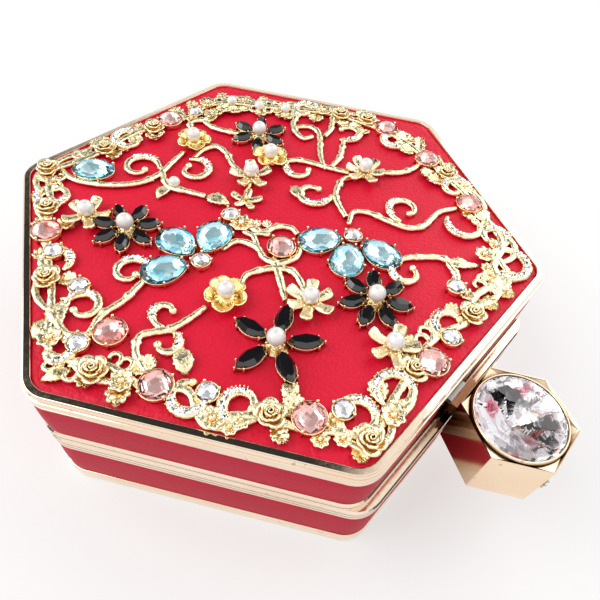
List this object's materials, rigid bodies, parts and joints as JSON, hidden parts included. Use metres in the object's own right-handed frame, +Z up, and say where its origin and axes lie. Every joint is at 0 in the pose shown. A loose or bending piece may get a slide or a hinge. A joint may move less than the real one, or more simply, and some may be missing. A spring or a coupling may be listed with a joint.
{
  "type": "minaudiere",
  "caption": "Hard-case hexagonal evening clutch with gold frames, red leather panels, a hinged lid with jewelled floral ornament and a lifting crystal knob clasp.",
  "frame": {"origin": "centre of the hexagonal case, on the surface it lies on, at the flat bottom", "axes": "+Z up through the lid, +Y from the clasp to the hinge, +X to the right seen from the clasp side"},
  "size_m": [0.1704, 0.1813, 0.0543],
  "materials": {
    "gold_plate": "polished pale gold plate",
    "red_leather": "crimson leather with fine pebble grain and a satin sheen",
    "shell_board": "stiff moulded shell, dark red",
    "lining_satin": "dark red satin lining",
    "steel": "plain steel",
    "pearl": "imitation pearl with a pinkish lustre",
    "blue_crystal": "checker-cut pale blue glass on foil",
    "black_crystal": "opaque black faceted glass",
    "pink_crystal": "checker-cut pale pink glass on foil",
    "clear_crystal": "clear faceted glass on foil"
  },
  "bodies": {
    "base": {"base_shell": "shell_board", "base_frame": "gold_plate", "base_rim": "gold_plate", "base_side_band": "red_leather", "base_panel": "red_leather", "base_lining": "lining_satin", "catch_plate": "steel", "catch_rivets": "steel", "hinge_base_leaf": "gold_plate", "hinge_base_rivets": "gold_plate", "hinge_pin": "steel"},
    "lid": {"lid_shell": "shell_board", "lid_frame": "gold_plate", "lid_rim": "gold_plate", "lid_side_band": "red_leather", "lid_panel": "red_leather", "lid_lining": "lining_satin", "hinge_lid_leaf": "gold_plate", "hinge_lid_rivets": "gold_plate", "slot_plate": "gold_plate", "latch_bracket": "steel", "bracket_rivets": "steel", "latch_pin": "steel", "latch_spring": "steel", "border_garland": "gold_plate", "vine_scrolls": "gold_plate", "cup_flowers": "gold_plate", "finger_flowers": "gold_plate", "pearls": "pearl", "blue_settings": "gold_plate", "blue_stones": "blue_crystal", "black_flower_settings": "gold_plate", "black_petals": "black_crystal", "pink_settings": "gold_plate", "pink_stones": "pink_crystal", "clear_settings": "gold_plate", "clear_stones": "clear_crystal", "tiny_stones": "clear_crystal"},
    "latch": {"latch_lever": "steel", "knob_screw": "steel", "knob_body": "gold_plate", "knob_bezel": "gold_plate", "knob_neck": "gold_plate", "knob_crystal": "clear_crystal", "knob_side_settings": "gold_plate", "knob_side_stones": "clear_crystal"}
  },
  "joints": [
    {"name": "lid_hinge", "type": "hinge", "parent": "base", "child": "lid", "pos_m": [0, 0.0756, 0.0256], "axis": [-1, 0, 0], "range_deg": [0, 90]},
    {"name": "clasp_pivot", "type": "hinge", "parent": "lid", "child": "latch", "pos_m": [0, -0.062, 0.031], "axis": [-1, 0, 0], "range_deg": [0, 10], "stiffness_Nm_per_rad": 0.05, "springref_deg": -20.05, "deforming": ["latch_spring"]}
  ]
}
